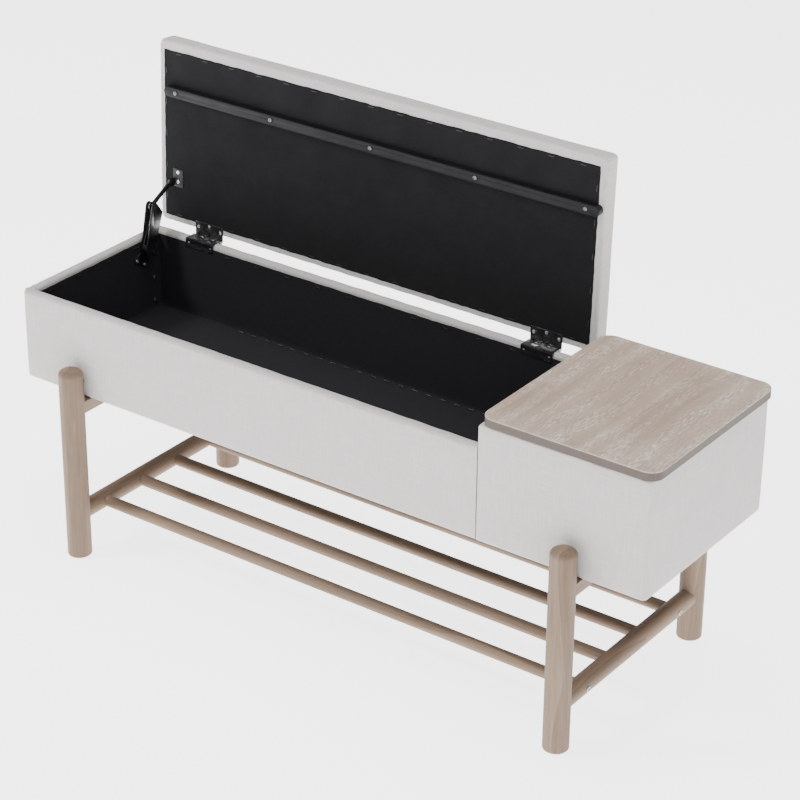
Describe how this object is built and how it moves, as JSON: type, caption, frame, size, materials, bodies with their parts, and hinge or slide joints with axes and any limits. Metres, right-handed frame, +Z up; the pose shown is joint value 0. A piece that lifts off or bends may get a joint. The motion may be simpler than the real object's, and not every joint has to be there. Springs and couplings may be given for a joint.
{
  "type": "storage bench",
  "caption": "Upholstered storage bench with a padded flip-up lid on a folding stay, a raised wooden side table at one end and a slatted shoe rack between round legs.",
  "frame": {"origin": "on the floor, under the middle of the open bench seen from above", "axes": "+X along the bench towards the side table, -Y is the front, +Z up"},
  "size_m": [1.174, 0.4444, 0.7556],
  "materials": {
    "frame_wood": "grey-beige stained solid wood, matt lacquer",
    "table_wood": "limed oak veneer, matt",
    "hidden_wood": "bare wood",
    "panel_wood": "plywood",
    "cover_fabric": "linen-look woven fabric",
    "lining_fabric": "black non-woven cloth",
    "painted_batten": "black painted wood",
    "glide_plastic": "moulded plastic",
    "black_metal": "black electrocoated steel",
    "screw_steel": "zinc-plated",
    "spring_steel": "oiled spring steel"
  },
  "bodies": {
    "bench": {"bearer_left": "frame_wood", "bearer_right": "frame_wood", "bearer_screws": "screw_steel", "bottom_panel": "panel_wood", "corner_blocks": "hidden_wood", "divider_panel": "panel_wood", "dust_cover": "lining_fabric", "end_cover": "cover_fabric", "end_top_panel": "panel_wood", "frame_dowels": "hidden_wood", "front_panel": "panel_wood", "glides": "glide_plastic", "hinge_box_screws": "screw_steel", "hinge_left_box_leaf": "black_metal", "hinge_left_pin": "black_metal", "hinge_right_box_leaf": "black_metal", "hinge_right_pin": "black_metal", "left_panel": "panel_wood", "leg_bolts": "screw_steel", "leg_front_left": "frame_wood", "leg_front_right": "frame_wood", "leg_rear_left": "frame_wood", "leg_rear_right": "frame_wood", "leg_spacers": "glide_plastic", "lower_rail_left": "frame_wood", "lower_rail_right": "frame_wood", "rear_panel": "panel_wood", "right_panel": "panel_wood", "rod_bolts": "screw_steel", "rod_dowels": "hidden_wood", "shelf_rod_1": "frame_wood", "shelf_rod_2": "frame_wood", "shelf_rod_3": "frame_wood", "shelf_rod_4": "frame_wood", "side_table_board": "table_wood", "stay_box_bracket": "black_metal", "stay_box_rivet": "black_metal", "stay_box_screws": "screw_steel", "storage_cover": "cover_fabric", "storage_lining": "lining_fabric", "table_screws": "screw_steel"},
    "lid": {"batten_screws": "black_metal", "hinge_left_lid_leaf": "black_metal", "hinge_lid_screws": "screw_steel", "hinge_right_lid_leaf": "black_metal", "lid_batten": "painted_batten", "lid_board": "panel_wood", "lid_cushion": "cover_fabric", "lid_lining": "lining_fabric", "stay_lid_bracket": "black_metal", "stay_lid_rivet": "black_metal", "stay_lid_screws": "screw_steel"},
    "stay_channel": {"stay_channel": "black_metal", "stay_spring": "spring_steel", "stay_plunger": "spring_steel", "stay_elbow_rivet": "black_metal"},
    "stay_arm": {"stay_arm": "black_metal"}
  },
  "joints": [
    {"name": "lid_hinge", "type": "hinge", "parent": "bench", "child": "lid", "pos_m": [-0.1555, 0.15635, 0.431], "axis": [1, 0, 0], "range_deg": [0, 92]},
    {"name": "stay_box_pivot", "type": "hinge", "parent": "bench", "child": "stay_channel", "pos_m": [-0.56, 0.10575, 0.4058], "axis": [1, 0, 0], "range_deg": [-1, 95]},
    {"name": "stay_lid_pivot", "type": "hinge", "parent": "lid", "child": "stay_arm", "pos_m": [-0.56, 0.15795, 0.5128], "axis": [1, 0, 0], "range_deg": [-95, 1]}
  ],
  "couplings": [
    {"joint": "stay_box_pivot", "follows": "lid_hinge", "ratio": 1.0083},
    {"joint": "stay_lid_pivot", "follows": "lid_hinge", "ratio": -1.0132}
  ]
}
